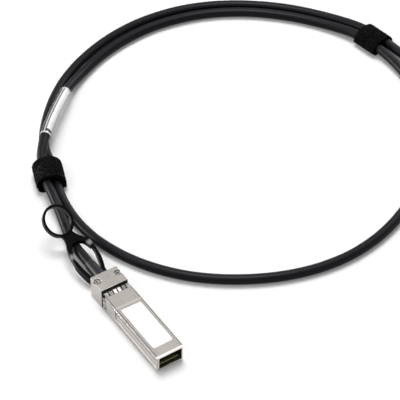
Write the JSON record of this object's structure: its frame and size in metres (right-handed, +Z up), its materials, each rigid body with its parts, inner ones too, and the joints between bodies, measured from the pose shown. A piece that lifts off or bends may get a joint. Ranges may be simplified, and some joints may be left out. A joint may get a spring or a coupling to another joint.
{
  "type": "direct attach copper cable",
  "caption": "Black twinax cable laid in a loop, with a metal-shelled network plug and a black pull tab at each end, held by hook-and-loop straps.",
  "frame": {"origin": "on the surface the cable lies on, under the middle of the length of one plug with its pull tab, on that plug's centre line", "axes": "+Z up from the surface, -Y the way both plugs go into their ports, +X across the plugs, towards the second one"},
  "size_m": [0.2314, 0.2072, 0.0168],
  "materials": {
    "shell": "satin die-cast zinc with a nickel-coloured finish",
    "spring_steel": "bright rolled spring steel",
    "screw_steel": "bright plated steel",
    "gold": "gold plating",
    "circuit_board": "olive green solder mask",
    "chip": "moulded black",
    "wire": "white insulation",
    "tab": "glossy black moulding",
    "boot": "satin black overmould",
    "cable": "satin black jacket",
    "label": "bare white label stock",
    "sleeve": "clear plastic film",
    "tag": "bare white paper",
    "strap": "black hook-and-loop pile"
  },
  "bodies": {
    "cable_assembly": {"plug_a_base": "shell", "plug_a_cover": "shell", "plug_a_emi_collar": "spring_steel", "plug_a_screws": "screw_steel", "plug_a_latch_pin": "spring_steel", "plug_a_return_spring": "spring_steel", "plug_a_bottom_plate": "spring_steel", "plug_a_paddle_card": "circuit_board", "plug_a_contacts": "gold", "plug_a_memory_chip": "chip", "plug_a_wires": "wire", "plug_a_ferrule": "spring_steel", "plug_a_boot": "boot", "plug_a_label": "label", "plug_b_base": "shell", "plug_b_cover": "shell", "plug_b_emi_collar": "spring_steel", "plug_b_screws": "screw_steel", "plug_b_latch_pin": "spring_steel", "plug_b_return_spring": "spring_steel", "plug_b_bottom_plate": "spring_steel", "plug_b_paddle_card": "circuit_board", "plug_b_contacts": "gold", "plug_b_memory_chip": "chip", "plug_b_wires": "wire", "plug_b_ferrule": "spring_steel", "plug_b_boot": "boot", "plug_b_label": "label", "cable_jacket": "cable", "sleeve": "sleeve", "sleeve_tag": "tag", "strap_1": "strap", "strap_2": "strap"},
    "plug_a_pull": {"plug_a_pull_tab": "tab", "plug_a_slider": "spring_steel"},
    "plug_a_lever": {"plug_a_latch": "shell"},
    "plug_b_pull": {"plug_b_pull_tab": "tab", "plug_b_slider": "spring_steel"},
    "plug_b_lever": {"plug_b_latch": "shell"}
  },
  "joints": [
    {"name": "plug_a_pull_slide", "type": "slide", "parent": "cable_assembly", "child": "plug_a_pull", "axis": [0, 1, 0], "range_m": [0, 0.0024], "stiffness_N_per_m": 500, "deforming": ["plug_a_return_spring"]},
    {"name": "plug_a_lever_hinge", "type": "hinge", "parent": "cable_assembly", "child": "plug_a_lever", "pos_m": [0, -0.0058, 0.0024], "axis": [-1, 0, 0], "range_deg": [0, 6.3]},
    {"name": "plug_b_pull_slide", "type": "slide", "parent": "cable_assembly", "child": "plug_b_pull", "axis": [0, 1, 0], "range_m": [0, 0.0024], "stiffness_N_per_m": 500, "deforming": ["plug_b_return_spring"]},
    {"name": "plug_b_lever_hinge", "type": "hinge", "parent": "cable_assembly", "child": "plug_b_lever", "pos_m": [0.216, -0.0058, 0.0024], "axis": [-1, 0, 0], "range_deg": [0, 6.3]}
  ],
  "couplings": [
    {"joint": "plug_a_lever_hinge", "follows": "plug_a_pull_slide", "rad_per_m": 45},
    {"joint": "plug_b_lever_hinge", "follows": "plug_b_pull_slide", "rad_per_m": 45}
  ]
}
